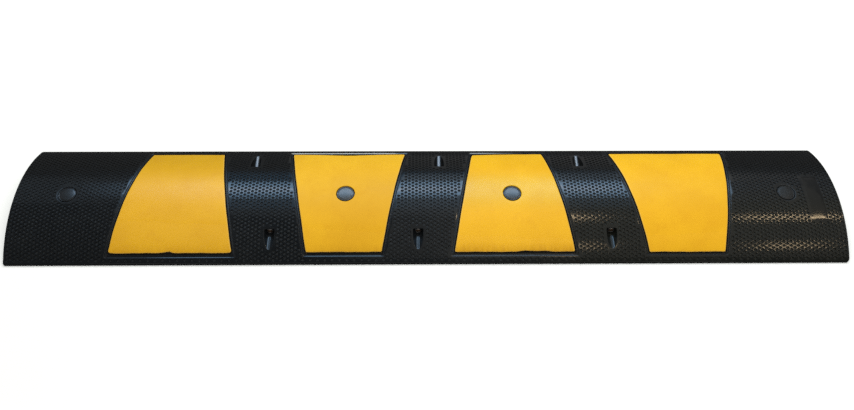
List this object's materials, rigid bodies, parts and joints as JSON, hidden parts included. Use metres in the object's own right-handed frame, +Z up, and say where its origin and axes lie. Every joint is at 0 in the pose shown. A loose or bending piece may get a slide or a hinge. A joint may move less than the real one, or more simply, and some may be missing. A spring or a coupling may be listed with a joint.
{
  "type": "speed bump",
  "caption": "Long arched black rubber speed bump with dimpled grip surface, inlaid slanted yellow panels, cat-eye reflector pockets in both slopes and plugged bolt holes along the crest.",
  "frame": {"origin": "middle of the base, on the road surface", "axes": "+X along the bump's length, +Y across it in the driving direction, +Z up from the road"},
  "size_m": [1.83, 0.305, 0.0508],
  "materials": {
    "black_rubber": "moulded black rubber, semi-gloss, dimpled grip pattern",
    "yellow_rubber": "smooth semi-gloss golden yellow rubber, lightly soiled",
    "plug_rubber": "smooth moulded black rubber",
    "washer_steel": "zinc-plated",
    "reflector_cup": "pressed, dull",
    "reflector_lens": "clear amber, polished dome"
  },
  "bodies": {
    "bump": {"rubber_body": "black_rubber", "yellow_panel_1": "yellow_rubber", "yellow_panel_2": "yellow_rubber", "yellow_panel_3": "yellow_rubber", "yellow_panel_4": "yellow_rubber", "bolt_washer_1": "washer_steel", "bolt_washer_2": "washer_steel", "bolt_washer_3": "washer_steel", "bolt_washer_4": "washer_steel", "reflector_cup_front_1": "reflector_cup", "reflector_cup_front_2": "reflector_cup", "reflector_cup_front_3": "reflector_cup", "reflector_lens_front_1": "reflector_lens", "reflector_lens_front_2": "reflector_lens", "reflector_lens_front_3": "reflector_lens", "reflector_cup_rear_1": "reflector_cup", "reflector_cup_rear_2": "reflector_cup", "reflector_cup_rear_3": "reflector_cup", "reflector_lens_rear_1": "reflector_lens", "reflector_lens_rear_2": "reflector_lens", "reflector_lens_rear_3": "reflector_lens"},
    "plug_1": {"hole_plug_1": "plug_rubber"},
    "plug_2": {"hole_plug_2": "plug_rubber"},
    "plug_3": {"hole_plug_3": "plug_rubber"},
    "plug_4": {"hole_plug_4": "plug_rubber"}
  },
  "joints": [
    {"name": "plug_1_lift", "type": "slide", "parent": "bump", "child": "plug_1", "axis": [0, 0, 1], "range_m": [0, 0.03]},
    {"name": "plug_2_lift", "type": "slide", "parent": "bump", "child": "plug_2", "axis": [0, 0, 1], "range_m": [0, 0.03]},
    {"name": "plug_3_lift", "type": "slide", "parent": "bump", "child": "plug_3", "axis": [0, 0, 1], "range_m": [0, 0.03]},
    {"name": "plug_4_lift", "type": "slide", "parent": "bump", "child": "plug_4", "axis": [0, 0, 1], "range_m": [0, 0.03]}
  ]
}
